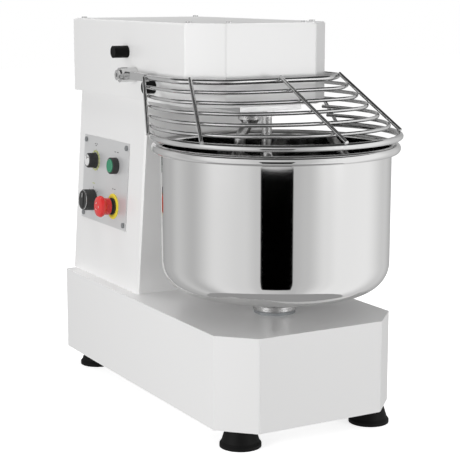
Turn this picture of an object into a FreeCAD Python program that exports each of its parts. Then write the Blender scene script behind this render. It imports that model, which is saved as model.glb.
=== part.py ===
import FreeCAD, Part
import math
import os

import Sketcher

# Free-standing spiral dough mixer. Millimetres. Z is up, the floor is Z = 0, the front faces -Y.
# X = 0 is the middle of the width. Y = 0 is the middle of the overall length.

doc = FreeCAD.newDocument("mixer")
sheet = doc.addObject("Spreadsheet::Sheet", "Sizes")

SIZES = {
    # overall
    "bowl_axis_y": -148.5,
    "foot_height": 28,
    "sheet_wall": 4,
    "plate_fit": 0.5,
    # base
    "base_width": 320,
    "base_height": 146,
    "base_front": 138,
    "base_back": 476,
    "base_chamfer": 50,
    # column, widths at the bottom and at the top
    "column_width_low": 278,
    "column_width_high": 234,
    "column_front": 215,
    "column_back": 486,
    "column_height": 326,
    # head
    "head_width": 258,
    "head_front": 12,
    "head_back": 492,
    "head_chamfer": 47,
    "head_height": 126,
    "lid_thickness": 2,
    # bowl
    "bowl_radius": 180,
    "bowl_wall": 2,
    "bowl_depth": 224,
    "bowl_knuckle": 45,
    "bowl_gap": 40,
    "rim_radius": 7.5,
    "rim_reach": 6.5,
    # bowl drive
    "bowl_shaft_radius": 15,
    "running_fit": 0.05,
    "hub_radius": 34.5,
    "hub_neck": 29,
    "collar_radius": 33,
    "collar_height": 5,
    "gear_module": 3,
    "pinion_teeth": 16,
    "gear_teeth": 80,
    "gear_face": 20,
    "gear_level": 58,
    "gear_backlash": 0.45,
    "countershaft_radius": 11,
    "base_belt_level": 100,
    # drive in the column and the head
    "layshaft_from_bowl": 290,
    "motor_from_bowl": 412,
    "hook_from_bowl": 80,
    "layshaft_radius": 11,
    "base_pulley_small": 26,
    "base_pulley_large": 78,
    "motor_pulley_radius": 24,
    "motor_pulley_large": 84,
    "head_pulley_small": 30,
    "head_pulley_large": 58,
    "belt_height": 22,
    "belt_thick": 8,
    "belt_gap": 0.3,
    "motor_belt_lift": 24,
    "head_belt_lift": 60,
    "bearing_depth": 10,
    "bearing_case": 7,
    "motor_radius": 64,
    "motor_length": 176,
    # hook and breaker bar
    "hook_rod": 9,
    "hook_clearance": 25,
    "hook_shaft_radius": 15,
    "breaker_radius": 8,
    "breaker_from_bowl": 27,
    # guard
    "guard_overhang": 12.5,
    "guard_tube": 5,
    "guard_top_tube": 4.5,
    "guard_stand_off": 20,
    "guard_wire": 3,
    "guard_sweep": 119.5,
    "guard_gap": 19,
    "guard_pivot_y": 232,
    "guard_pivot_lift": 41,
    "foot_radius": 32,
    "foot_x": 118,
    "foot_front": 96,
    "foot_back": 430,
    # control panel
    "panel_length": 186,
    "panel_height": 150,
    "panel_thickness": 1.5,
    "panel_middle_y": 364,
    "panel_low": 272,
}

for row, (alias, value) in enumerate(SIZES.items(), start=1):
    sheet.set("A{}".format(row), alias)
    sheet.set("B{}".format(row), str(value))
    sheet.setAlias("B{}".format(row), alias)
doc.recompute()


class Size:
    """A number together with the sheet formula that it comes from."""

    def __init__(self, value, text):
        self.value = float(value)
        self.text = text

    def __add__(self, other):
        other = as_size(other)
        return Size(self.value + other.value, "({} + {})".format(self.text, other.text))

    def __radd__(self, other):
        return as_size(other) + self

    def __sub__(self, other):
        other = as_size(other)
        return Size(self.value - other.value, "({} - {})".format(self.text, other.text))

    def __rsub__(self, other):
        return as_size(other) - self

    def __mul__(self, other):
        other = as_size(other)
        return Size(self.value * other.value, "({} * {})".format(self.text, other.text))

    def __rmul__(self, other):
        return as_size(other) * self

    def __truediv__(self, other):
        other = as_size(other)
        return Size(self.value / other.value, "({} / {})".format(self.text, other.text))

    def __neg__(self):
        return as_size(0) - self


def as_size(value):
    """Return value as a Size, whether it is a number or one already."""
    if isinstance(value, Size):
        return value
    return Size(value, "({:.6f})".format(float(value)))


def size(alias):
    """Return the named driving dimension."""
    return Size(sheet.get(alias), "Sizes.{}".format(alias))


def num(value):
    """Return the plain number of a Size or a number."""
    return as_size(value).value


AXES = {
    "z": FreeCAD.Rotation(FreeCAD.Vector(0, 0, 1), 0),
    "-z": FreeCAD.Rotation(FreeCAD.Vector(1, 0, 0), 180),
    "x": FreeCAD.Rotation(FreeCAD.Vector(0, 1, 0), 90),
    "-x": FreeCAD.Rotation(FreeCAD.Vector(0, 1, 0), -90),
    "y": FreeCAD.Rotation(FreeCAD.Vector(1, 0, 0), -90),
    "-y": FreeCAD.Rotation(FreeCAD.Vector(1, 0, 0), 90),
}

NODES = []
used_names = {}


def fresh(kind):
    """Return an internal name that nothing else in the document has."""
    used_names[kind] = used_names.get(kind, 0) + 1
    return "{}_{}".format(kind, used_names[kind])


def node(item, label):
    """Give the finished piece its file name."""
    item.Label = label
    NODES.append((label, item))
    return item


def place(item, at, turn=None):
    """Put item at a point whose coordinates are Sizes, turned by a Rotation."""
    rotation = turn if turn is not None else FreeCAD.Rotation()
    spots = [as_size(part) for part in at]
    item.Placement = FreeCAD.Placement(FreeCAD.Vector(*[spot.value for spot in spots]), rotation)
    for letter, spot in zip("xyz", spots):
        item.setExpression(".Placement.Base.{}".format(letter), spot.text)
    return item


def bind(item, **lengths):
    """Bind each named property of item to its Size."""
    for name, value in lengths.items():
        value = as_size(value)
        setattr(item, name, value.value)
        item.setExpression(name, value.text)
    return item


def rod(radius, length, at, axis="z"):
    """Return a cylinder that starts at a point and runs along an axis."""
    item = doc.addObject("Part::Cylinder", fresh("rod"))
    bind(item, Radius=radius, Height=length)
    return place(item, at, AXES[axis])


def taper(radius_low, radius_high, length, at, axis="z"):
    """Return a cone frustum that starts at a point and runs along an axis."""
    item = doc.addObject("Part::Cone", fresh("taper"))
    bind(item, Radius1=radius_low, Radius2=radius_high, Height=length)
    return place(item, at, AXES[axis])


def block(width, depth, height, at):
    """Return a box centred on at in X and Y that stands on its Z."""
    item = doc.addObject("Part::Box", fresh("block"))
    bind(item, Length=width, Width=depth, Height=height)
    x, y, z = [as_size(part) for part in at]
    return place(item, (x - as_size(width) / 2, y - as_size(depth) / 2, z))


def hexagon(across, length, at, axis="z"):
    """Return a hexagonal bar given the distance across its flats."""
    item = doc.addObject("Part::Prism", fresh("hexagon"))
    item.Polygon = 6
    bind(item, Circumradius=as_size(across) / math.sqrt(3), Height=length)
    return place(item, at, AXES[axis])


def joined(*items):
    """Return the union of the pieces."""
    item = doc.addObject("Part::MultiFuse", fresh("joined"))
    item.Shapes = list(items)
    item.Refine = True
    return item


def cut(base, *tools):
    """Return base with the tools taken away."""
    item = doc.addObject("Part::Cut", fresh("cut"))
    item.Base = base
    item.Tool = tools[0] if len(tools) == 1 else joined(*tools)
    item.Refine = True
    return item


def group(items):
    """Return separate solids as one piece."""
    item = doc.addObject("Part::Compound", fresh("group"))
    item.Links = list(items)
    return item


def made(shape):
    """Return a feature that holds a shape made with Part functions."""
    item = doc.addObject("Part::Feature", fresh("made"))
    item.Shape = shape
    return item


def origin_plane(body, role):
    """Return the body's own datum plane, found by its role."""
    for feature in body.Origin.OriginFeatures:
        if feature.Role == role:
            return feature
    raise ValueError(role)


def new_sketch(body, role, lift=0):
    """Return an empty sketch on one of the body's planes, lifted along its normal."""
    sketch = body.newObject("Sketcher::SketchObject", fresh("sketch"))
    sketch.AttachmentSupport = [(origin_plane(body, role), "")]
    sketch.MapMode = "FlatFace"
    lift = as_size(lift)
    sketch.AttachmentOffset = FreeCAD.Placement(FreeCAD.Vector(0, 0, lift.value), FreeCAD.Rotation())
    sketch.setExpression(".AttachmentOffset.Base.z", lift.text)
    return sketch


def outline(sketch, points):
    """Draw a closed outline; each corner is held at its sheet position."""
    corners = [(as_size(x), as_size(y)) for x, y in points]
    first = sketch.GeometryCount
    count = len(corners)
    for index in range(count):
        here = corners[index]
        after = corners[(index + 1) % count]
        start = FreeCAD.Vector(here[0].value, here[1].value, 0)
        end = FreeCAD.Vector(after[0].value, after[1].value, 0)
        sketch.addGeometry(Part.LineSegment(start, end), False)
    for index in range(count):
        line = first + index
        next_line = first + (index + 1) % count
        sketch.addConstraint(Sketcher.Constraint("Coincident", line, 2, next_line, 1))
    for index, corner in enumerate(corners):
        for kind, part in zip(("DistanceX", "DistanceY"), corner):
            rule = Sketcher.Constraint(kind, -1, 1, first + index, 1, part.value)
            number = sketch.addConstraint(rule)
            sketch.setExpression("Constraints[{}]".format(number), part.text)
    return sketch


def circle(sketch, x, y, radius):
    """Draw a circle whose centre and radius are held by the sheet."""
    x, y, radius = as_size(x), as_size(y), as_size(radius)
    centre = FreeCAD.Vector(x.value, y.value, 0)
    number = sketch.addGeometry(Part.Circle(centre, FreeCAD.Vector(0, 0, 1), radius.value), False)
    for kind, part in (("DistanceX", x), ("DistanceY", y)):
        rule = sketch.addConstraint(Sketcher.Constraint(kind, -1, 1, number, 3, part.value))
        sketch.setExpression("Constraints[{}]".format(rule), part.text)
    rule = sketch.addConstraint(Sketcher.Constraint("Radius", number, radius.value))
    sketch.setExpression("Constraints[{}]".format(rule), radius.text)
    return sketch


def new_body():
    """Return an empty body."""
    return doc.addObject("PartDesign::Body", fresh("body"))


def pad(body, sketch, length, reverse=False):
    """Add material along the sketch's normal."""
    item = body.newObject("PartDesign::Pad", fresh("pad"))
    item.Profile = sketch
    bind(item, Length=length)
    item.Reversed = reverse
    sketch.Visibility = False
    return item


def pocket(body, sketch, length, reverse=False):
    """Take material away from the sketch, below its plane unless reversed, and check that it did."""
    doc.recompute()
    before = body.Shape.Volume
    item = body.newObject("PartDesign::Pocket", fresh("pocket"))
    item.Profile = sketch
    bind(item, Length=length)
    item.Reversed = reverse
    sketch.Visibility = False
    doc.recompute()
    if not item.Shape.Volume < before - 0.01:
        raise ValueError("a pocket took nothing away in {}".format(body.Name))
    return item


def turned(profile, at=(0, 0, 0), axis="z"):
    """Return a body turned about its Z axis from (radius, height) corners."""
    body = new_body()
    sketch = new_sketch(body, "XZ_Plane")
    outline(sketch, profile)
    item = body.newObject("PartDesign::Revolution", fresh("revolution"))
    item.Profile = sketch
    item.ReferenceAxis = (sketch, ["V_Axis"])
    item.Angle = 360
    sketch.Visibility = False
    return place(body, at, AXES[axis])


def edges_where(shape, wanted):
    """Return the names of the edges for which wanted(edge) is true."""
    return ["Edge{}".format(i + 1) for i, edge in enumerate(shape.Edges) if wanted(edge)]


def faces_where(shape, wanted):
    """Return the names of the faces for which wanted(face) is true."""
    return ["Face{}".format(i + 1) for i, face in enumerate(shape.Faces) if wanted(face)]


def upright(edge):
    """Say whether an edge stands along Z."""
    if len(edge.Vertexes) != 2:
        return False
    run = edge.Vertexes[1].Point - edge.Vertexes[0].Point
    return abs(run.x) < 1e-6 and abs(run.y) < 1e-6 and abs(run.z) > 1


def rounded(body, names, radius):
    """Round the named edges of the body's last feature."""
    base = body.Tip
    item = body.newObject("PartDesign::Fillet", fresh("fillet"))
    item.Base = (base, names)
    bind(item, Radius=radius)
    return item


def screw_set(spots, axis, head_radius, head_height, shank_radius, shank_length, socket=0.0):
    """Return identical screws as separate solids, each head resting on its spot.

    Args:
        spots: points on the clamped face, under each head.
        axis: the way out of the head.
        head_radius, head_height, shank_radius, shank_length: sizes of one screw.
        socket: distance across a hexagon recess, or 0 for a plain slotted head.
    """
    opposite = axis[1:] if axis.startswith("-") else "-" + axis
    sign = -1 if axis.startswith("-") else 1
    letter = axis[-1]
    items = []
    for spot in spots:
        spot = [as_size(part) for part in spot]
        head = rod(head_radius, head_height, spot, axis)
        shank = rod(shank_radius, shank_length, spot, opposite)
        recess_at = list(spot)
        where = "xyz".index(letter)
        recess_at[where] = recess_at[where] + sign * num(head_height) * 0.45
        if socket:
            recess = hexagon(socket, num(head_height), recess_at, axis)
        else:
            recess = cross_recess(num(head_radius) * 1.1, num(head_height), recess_at, axis)
        items.append(cut(joined(head, shank), recess))
    return group(items)


def cross_recess(span, depth, at, axis):
    """Return a plus-shaped recess for a cross-head screw."""
    thin = span * 0.22
    bars = []
    for along in (0, 1):
        item = doc.addObject("Part::Box", fresh("bar"))
        item.Length = span if along == 0 else thin
        item.Width = thin if along == 0 else span
        item.Height = depth
        middle = FreeCAD.Vector(-item.Length.Value / 2, -item.Width.Value / 2, 0)
        spots = [as_size(part) for part in at]
        shift = AXES[axis].multVec(middle)
        moved = [spot + offset for spot, offset in zip(spots, shift)]
        bars.append(place(item, moved, AXES[axis]))
    return joined(*bars)


def swept(points, radius, closed=False, straight=False):
    """Return a round bar whose middle line runs through the points."""
    vectors = [FreeCAD.Vector(*point) for point in points]
    if straight:
        path = Part.makePolygon(vectors)
        start = vectors[1] - vectors[0]
    else:
        curve = Part.BSplineCurve()
        curve.interpolate(vectors, PeriodicFlag=closed)
        path = Part.Wire([curve.toShape()])
        start = curve.tangent(curve.FirstParameter)[0]
    ring = Part.Wire([Part.makeCircle(radius, vectors[0], start)])
    return path.makePipeShell([ring], True, False, 1 if straight else 0)


# Heights and places that several pieces share
BOWL_Y = size("bowl_axis_y")
WALL = size("sheet_wall")
BASE_LOW = size("foot_height")
BASE_TOP = BASE_LOW + size("base_height")
HEAD_LOW = BASE_TOP + size("column_height")
HEAD_TOP = HEAD_LOW + size("head_height")
LAYSHAFT_Y = BOWL_Y + size("layshaft_from_bowl")
MOTOR_Y = BOWL_Y + size("motor_from_bowl")
HOOK_Y = BOWL_Y + size("hook_from_bowl")
CENTRES = size("gear_module") * (size("pinion_teeth") + size("gear_teeth")) / 2
COUNTER_Y = BOWL_Y + CENTRES
FIT = size("running_fit")
CORNER = 1 - math.sqrt(0.5)


def house_outline(half_width, front, back, chamfer, inset=0):
    """Return the plan of a box with chamfered front corners, drawn in by inset all round."""
    half_width = half_width - inset
    front = front + inset
    back = back - inset
    chamfer = chamfer - as_size(inset) * (2 * CORNER)
    return [
        (-half_width, back),
        (-half_width, front + chamfer),
        (-half_width + chamfer, front),
        (half_width - chamfer, front),
        (half_width, front + chamfer),
        (half_width, back),
    ]


# ---------------------------------------------------------------- base
base_plan = (size("base_width") / 2, -size("base_front"), size("base_back"), size("base_chamfer"))
body = new_body()
pad(body, outline(new_sketch(body, "XY_Plane"), house_outline(*base_plan)), size("base_height"))
doc.recompute()
rounded(body, edges_where(body.Shape, upright), 5)
inner = outline(new_sketch(body, "XY_Plane"), house_outline(*base_plan, inset=WALL))
pocket(body, inner, size("base_height") - WALL, reverse=True)
holes = new_sketch(body, "XY_Plane", size("base_height"))
circle(holes, 0, 0, size("collar_radius") + FIT)
circle(holes, 0, size("layshaft_from_bowl"), 30)
COLUMN_BOLT_X = size("column_width_low") / 2 - 30
COLUMN_BOLT_Y = (size("column_front") + 24, size("column_back") - 45)
for side in (-1, 1):
    for spot in COLUMN_BOLT_Y:
        circle(holes, side * COLUMN_BOLT_X, spot, 4.2)
pocket(body, holes, WALL + 1)
place(body, (0, BOWL_Y, BASE_LOW))
foot_spots = []
for side in (-1, 1):
    for away in (-size("foot_front"), size("foot_back")):
        foot_spots.append((side * size("foot_x"), BOWL_Y + away, 0))
GLAND_AT = (-96, BOWL_Y + size("base_back"), BASE_LOW + 60)
gland_bore = rod(10, 20, (GLAND_AT[0], GLAND_AT[1] - 10, GLAND_AT[2]), "y")
node(cut(body, gland_bore), "base_housing")

body = new_body()
fit_in = WALL + size("plate_fit")
pad(body, outline(new_sketch(body, "XY_Plane"), house_outline(*base_plan, inset=fit_in)), WALL)
holes = new_sketch(body, "XY_Plane", WALL)
for side in (-1, 1):
    circle(holes, side * size("foot_x") / 2, size("foot_back") - 60, 20)
pocket(body, holes, WALL + 1)
place(body, (0, BOWL_Y, BASE_LOW))
bosses = [rod(11, 24, (x, y, BASE_LOW + WALL)) for x, y, z in foot_spots]
boss_bores = [rod(5 + FIT, 40, (x, y, BASE_LOW - 1)) for x, y, z in foot_spots]
node(cut(joined(body, *bosses), *boss_bores), "base_bottom_plate")

foot_r = size("foot_radius")
feet = []
studs = []
for x, y, z in foot_spots:
    profile = [
        (5.5, 0), (foot_r, 0), (foot_r, 5), (foot_r - 3, 9), (foot_r - 7, size("foot_height") - 6),
        (foot_r - 9, size("foot_height")), (5.5, size("foot_height")),
    ]
    feet.append(cut(turned(profile, (x, y, 0)), rod(11, 12, (x, y, 0))))
    stud = joined(rod(5, size("foot_height") + 30, (x, y, 4)), hexagon(17, 6, (x, y, 4)))
    studs.append(stud)
node(group(feet), "rubber_feet")
node(group(studs), "foot_bolts")

# ---------------------------------------------------------------- column
H_COL = size("column_height")
HALF_LOW = size("column_width_low") / 2
HALF_HIGH = size("column_width_high") / 2
SLOPE = (HALF_LOW - HALF_HIGH) / H_COL
FLANGE = as_size(6)
EASE = as_size(3)


def column_half(height):
    """Return the column's half width at a height above its foot."""
    return HALF_LOW - SLOPE * height


def loft(body, sections, kind):
    """Join rectangles of (half_width, front, back, height) into one straight-sided solid.

    The outer corners are broken by EASE; the hollow's corners are square.
    """
    ease = EASE if kind == "AdditiveLoft" else as_size(0)
    sketches = []
    for half, front, back, height in sections:
        sketch = new_sketch(body, "XY_Plane", height)
        if ease.value:
            points = [
                (-half, front + ease), (-half + ease, front), (half - ease, front), (half, front + ease),
                (half, back - ease), (half - ease, back), (-half + ease, back), (-half, back - ease),
            ]
        else:
            points = [(-half, front), (half, front), (half, back), (-half, back)]
        sketches.append(outline(sketch, points))
    item = body.newObject("PartDesign::" + kind, fresh("loft"))
    item.Profile = sketches[0]
    item.Sections = sketches[1:]
    item.Ruled = True
    return item


body = new_body()
COL_F = size("column_front")
COL_B = size("column_back")
loft(body, [(HALF_LOW, COL_F, COL_B, 0), (HALF_HIGH, COL_F, COL_B, H_COL)], "AdditiveLoft")
hollow = []
for height in (FLANGE, H_COL - FLANGE):
    hollow.append((column_half(height) - WALL, COL_F + WALL, COL_B - WALL, height))
loft(body, hollow, "SubtractiveLoft")
windows = new_sketch(body, "XY_Plane", H_COL)
window = [(-84, COL_F + 14), (84, COL_F + 14), (84, COL_B - 20), (-84, COL_B - 20)]
outline(windows, window)
pocket(body, windows, H_COL + 1)
holes = new_sketch(body, "XY_Plane", FLANGE)
for side in (-1, 1):
    for spot in COLUMN_BOLT_Y:
        circle(holes, side * COLUMN_BOLT_X, spot, 4.2)
pocket(body, holes, FLANGE + 1)
holes = new_sketch(body, "XY_Plane", H_COL)
HEAD_BOLT_X = as_size(97)
HEAD_BOLT_Y = (COL_F + 24, COL_B - 45)
for side in (-1, 1):
    for spot in HEAD_BOLT_Y:
        circle(holes, side * HEAD_BOLT_X, spot, 4.2)
pocket(body, holes, FLANGE + 1)
place(body, (0, BOWL_Y, BASE_TOP))
REAR_Y = BOWL_Y + COL_B
rear_window = block(150, 30, 240, (0, REAR_Y, BASE_TOP + 40))
# the panel's four controls pass through the left wall; their holes follow the wall's slant
PANEL_TURN = -math.atan(num(SLOPE))
PANEL_SPOTS = {"timer": (-42, 107), "start": (44, 107), "selector": (-46, 36), "stop": (40, 36)}


def on_panel(along, up, out):
    """Return a point on the slanted left side.

    Args:
        along: distance from the panel's middle towards the front, positive to the front.
        up: height above the panel's lower edge.
        out: distance out of the column's wall.
    """
    height = size("panel_low") - BASE_TOP + up
    half = column_half(height)
    return (-half - out, BOWL_Y + size("panel_middle_y") - along, BASE_TOP + height + as_size(out) * num(SLOPE))


PANEL_ROTATION = FreeCAD.Rotation(FreeCAD.Vector(0, 1, 0), -90 - math.degrees(PANEL_TURN))


def panel_rod(radius, length, along, up, out):
    """Return a cylinder square to the slanted side, starting at out and running outwards."""
    item = doc.addObject("Part::Cylinder", fresh("rod"))
    bind(item, Radius=radius, Height=length)
    return place(item, on_panel(along, up, out), PANEL_ROTATION)


def panel_turned(profile, along, up, out):
    """Return a turned body whose axis is square to the slanted side."""
    return place(turned(profile), on_panel(along, up, out), PANEL_ROTATION)


CONTROL_HOLE = {"timer": 6, "start": 11, "selector": 6, "stop": 11}
corner_spots = []
for side in (-1, 1):
    for lift in (9, size("panel_height") - 9):
        corner_spots.append((side * (size("panel_length") / 2 - 9), lift))
through = [panel_rod(2.1, 14, *spot, -10) for spot in corner_spots]
through += [panel_rod(CONTROL_HOLE[name] + 0.3, 14, *spot, -10) for name, spot in PANEL_SPOTS.items()]
node(cut(body, rear_window, *through), "column_housing")

cover_low = BASE_TOP + 22
cover = block(206, 2, 284, (0, REAR_Y + 1, cover_low))
louvres = [block(100, 10, 5, (0, REAR_Y, cover_low + 110 + 12 * i)) for i in range(8)]
cover_spots = []
for side in (-1, 1):
    for lift in (8, 142, 276):
        cover_spots.append((side * 94, REAR_Y + 2, cover_low + lift))
cover_holes = [rod(2.2, 6, (x, y - 3, z), "y") for x, y, z in cover_spots]
node(cut(cover, *louvres, *cover_holes), "rear_cover")
rear_screws = screw_set(cover_spots, "y", 4.2, 2.4, 2, 1.9)
column_bolts = []
for side in (-1, 1):
    for spot in COLUMN_BOLT_Y:
        column_bolts.append((side * COLUMN_BOLT_X, BOWL_Y + spot, BASE_TOP + FLANGE))


# ---------------------------------------------------------------- head
head_plan = (size("head_width") / 2, size("head_front"), size("head_back"), size("head_chamfer"))
body = new_body()
pad(body, outline(new_sketch(body, "XY_Plane"), house_outline(*head_plan)), size("head_height"))
doc.recompute()
rounded(body, edges_where(body.Shape, upright), 5)
inner = outline(new_sketch(body, "XY_Plane", size("head_height")), house_outline(*head_plan, inset=WALL))
pocket(body, inner, size("head_height") - WALL)
holes = new_sketch(body, "XY_Plane", WALL)
hook_case_room = size("hook_shaft_radius") + size("bearing_depth") + size("bearing_case") + FIT
circle(holes, 0, size("hook_from_bowl"), hook_case_room)
circle(holes, 0, size("layshaft_from_bowl"), 24)
circle(holes, 0, size("motor_from_bowl"), 34)
for side in (-1, 1):
    for away in (-52, 44):
        circle(holes, side * 62, size("motor_from_bowl") + away, 3.2)
for side in (-1, 1):
    for spot in HEAD_BOLT_Y:
        circle(holes, side * HEAD_BOLT_X, spot, 4.2)
pocket(body, holes, WALL + 1)
place(body, (0, BOWL_Y, HEAD_LOW))
LID_SPOTS = []
for x, y in ((-113, 74), (113, 74), (-113, 476), (113, 476), (-68, 28), (68, 28)):
    LID_SPOTS.append((as_size(x), BOWL_Y + y, HEAD_TOP))
posts = [rod(8, size("head_height") - WALL, (x, y, HEAD_LOW + WALL)) for x, y, z in LID_SPOTS]
post_holes = [rod(2.5, 20, (x, y, HEAD_TOP), "-z") for x, y, z in LID_SPOTS]
PIVOT_Y = BOWL_Y + size("guard_pivot_y")
PIVOT_Z = HEAD_LOW + size("guard_pivot_lift")
HEAD_HALF = size("head_width") / 2
pivot_bores = [rod(5 + FIT, 20, (side * HEAD_HALF - 10, PIVOT_Y, PIVOT_Z), "x") for side in (-1, 1)]
node(cut(joined(body, *posts), *post_holes, *pivot_bores), "head_housing")

body = new_body()
pad(body, outline(new_sketch(body, "XY_Plane"), house_outline(*head_plan, inset=1.5)), size("lid_thickness"))
doc.recompute()
rounded(body, edges_where(body.Shape, lambda edge: edge.Length < 2.5), 10)
holes = new_sketch(body, "XY_Plane", size("lid_thickness"))
for x, y, z in LID_SPOTS:
    circle(holes, x, y - BOWL_Y, 2.7)
pocket(body, holes, 4)
place(body, (0, BOWL_Y, HEAD_TOP))
node(body, "head_lid")
lid_heads = [(x, y, HEAD_TOP + size("lid_thickness")) for x, y, z in LID_SPOTS]
node(group([screw_set(lid_heads, "z", 4.8, 2.6, 2.4, 18), rear_screws]), "cover_screws")
head_bolts = []
for side in (-1, 1):
    for spot in HEAD_BOLT_Y:
        head_bolts.append((side * HEAD_BOLT_X, BOWL_Y + spot, HEAD_LOW + WALL))
node(screw_set(column_bolts + head_bolts, "z", 6.5, 8, 4, 20, socket=6), "frame_bolts")


# ---------------------------------------------------------------- control panel
PANEL_LIFT = 0.2
PANEL_OUT = as_size(PANEL_LIFT) + size("panel_thickness")
plate = doc.addObject("Part::Box", fresh("plate"))
bind(plate, Length=size("panel_height"), Width=size("panel_length"), Height=size("panel_thickness"))
place(plate, on_panel(size("panel_length") / 2, 0, PANEL_LIFT), PANEL_ROTATION)
# the plate's first corner lies low and to the front; its length runs up the wall
plate_holes = [panel_rod(CONTROL_HOLE[name] + 0.3, 6, *spot, -2) for name, spot in PANEL_SPOTS.items()]
plate_holes += [panel_rod(2.1, 6, *spot, -2) for spot in corner_spots]
node(cut(plate, *plate_holes), "control_panel")
small_screws = []
for spot in corner_spots:
    head = panel_rod(4.6, 2.2, *spot, PANEL_OUT)
    shank = panel_rod(2, 7 + PANEL_OUT, *spot, -6.5)
    small_screws.append(joined(head, shank))
node(group(small_screws), "panel_screws")

TIMER = PANEL_SPOTS["timer"]
START = PANEL_SPOTS["start"]
SELECTOR = PANEL_SPOTS["selector"]
STOP = PANEL_SPOTS["stop"]
FACE = PANEL_OUT + 0.3
timer_profile = [(0, 0), (14, 0), (14, 2), (12.6, 3), (12.2, 15), (11.2, 16.5), (0, 16.5)]
pointer = panel_rod(1, 3, TIMER[0] + 6, TIMER[1] + 6, FACE + 15)
spindle = panel_rod(3, 24, *TIMER, FACE - 20)
node(joined(panel_turned(timer_profile, *TIMER, FACE), spindle, pointer), "timer_knob")
selector_profile = [(0, 0), (18.6, 0), (18.6, 18.6), (17.6, 19.6), (0, 19.6)]
ridge = panel_rod(1.6, 3, SELECTOR[0], SELECTOR[1] + 12, FACE + 17.6)
spindle = panel_rod(3, 24, *SELECTOR, FACE - 20)
node(joined(panel_turned(selector_profile, *SELECTOR, FACE), ridge, spindle), "selector_knob")
bodies = []
for spot in (TIMER, SELECTOR):
    case = panel_turned([(3 + FIT, 0), (22, 0), (22, 34), (3 + FIT, 34)], *spot, -40)
    neck = panel_turned([(3 + FIT, 0), (5.8, 0), (5.8, 7), (3 + FIT, 7)], *spot, -7)
    bodies.append(joined(case, neck))
node(group(bodies), "control_switches")

start_profile = [(8.5, -40), (10.8, -40), (10.8, PANEL_OUT), (14.2, PANEL_OUT), (14.2, PANEL_OUT + 11),
                 (13.4, PANEL_OUT + 12), (12.4, PANEL_OUT + 12), (12.4, PANEL_OUT + 1.5), (8.5, PANEL_OUT + 1.5)]
node(panel_turned(start_profile, *START, 0), "start_button_bezel")
start_cap = [(0, PANEL_OUT + 5), (12, PANEL_OUT + 5), (12, PANEL_OUT + 12), (11.4, PANEL_OUT + 12.8),
             (0, PANEL_OUT + 12.8)]
node(joined(panel_turned(start_cap, *START, 0), panel_rod(4, 32, *START, PANEL_OUT - 26)), "start_button")
collar_profile = [(8.5, -40), (10.8, -40), (10.8, PANEL_OUT + 1.5), (14.8, PANEL_OUT + 1.5), (14.8, PANEL_OUT + 4.5),
                  (12.4, PANEL_OUT + 4.5), (12.4, PANEL_OUT + 15), (8.5, PANEL_OUT + 15)]
node(panel_turned(collar_profile, *STOP, 0), "emergency_stop_collar")
disc = panel_turned([(11, 0), (22, 0), (22, 1), (11, 1)], *STOP, PANEL_OUT + 0.2)
node(disc, "emergency_stop_disc")
mushroom = [(0, 19.6), (12.9, 19.6), (12.9, 9), (14.6, 9), (14.8, 18), (17.5, 21), (18.6, 23), (18.6, 25.5), (17, 28.5),
            (11, 30.5), (0, 31)]
mushroom = [(r, PANEL_OUT + h) for r, h in mushroom]
node(joined(panel_turned(mushroom, *STOP, 0), panel_rod(8.2, 22, *STOP, PANEL_OUT - 1),
            panel_rod(4, 26, *STOP, PANEL_OUT - 26)), "emergency_stop_button")
blocks = [panel_turned([(5, 0), (17, 0), (17, 20), (5, 20)], *spot, -60.5) for spot in (START, STOP)]
node(group(blocks), "switch_blocks")

# ---------------------------------------------------------------- bowl and its drive
BOWL_LOW = BASE_TOP + size("bowl_gap")
BOWL_R = size("bowl_radius")
DEPTH = size("bowl_depth")
SHAFT_R = size("bowl_shaft_radius")
KNUCKLE = size("bowl_knuckle")


body = new_body()
pad(body, circle(new_sketch(body, "XY_Plane"), 0, 0, BOWL_R), DEPTH)
doc.recompute()
rounded(body, edges_where(body.Shape, lambda e: abs(e.BoundBox.ZMax) < 0.01 and e.Closed), KNUCKLE)
doc.recompute()
last = body.Tip
thick = body.newObject("PartDesign::Thickness", fresh("thick"))
thick.Base = (last, faces_where(body.Shape, lambda f: f.BoundBox.ZMin > num(DEPTH) - 0.01))
bind(thick, Value=size("bowl_wall"))
thick.Reversed = True
place(body, (0, BOWL_Y, BOWL_LOW))
RIM_MIDDLE = BOWL_R + size("rim_reach")
bead = doc.addObject("Part::Torus", fresh("bead"))
bind(bead, Radius1=RIM_MIDDLE, Radius2=size("rim_radius"))
place(bead, (0, BOWL_Y, BOWL_LOW + DEPTH))
bowl_bolt_spots = []
for step in range(4):
    angle = math.radians(45 + 90 * step)
    bowl_bolt_spots.append((25 * math.cos(angle), BOWL_Y + 25 * math.sin(angle), BOWL_LOW + size("bowl_wall")))
bolt_bores = [rod(3.2, 8, (x, y, z - 5)) for x, y, z in bowl_bolt_spots]
node(cut(joined(body, bead), *bolt_bores), "bowl")
HUB_LOW = BASE_TOP + size("collar_height")
HUB_H = BOWL_LOW - HUB_LOW
NECK_R = size("hub_neck")
hub_profile = [(SHAFT_R, 0), (size("hub_radius") - 1, 0), (size("hub_radius"), 1), (size("hub_radius"), 8),
               (size("hub_radius") - 1, 9), (NECK_R, 9), (NECK_R, HUB_H), (SHAFT_R, HUB_H)]
hub_bores = [rod(3, 18, (x, y, BOWL_LOW), "-z") for x, y, z in bowl_bolt_spots]
side_bore = rod(3, 30, (0, BOWL_Y - num(SHAFT_R), HUB_LOW + 14), "-y")
node(cut(turned(hub_profile, (0, BOWL_Y, HUB_LOW)), *hub_bores, side_bore), "bowl_hub")
hub_screw = rod(5, 4, (0, BOWL_Y - NECK_R, HUB_LOW + 14), "-y")
hub_shank = rod(3, NECK_R - SHAFT_R, (0, BOWL_Y - SHAFT_R, HUB_LOW + 14), "-y")
bowl_screws = screw_set(bowl_bolt_spots, "z", 5.5, 4, 3, 18, socket=5)
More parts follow.
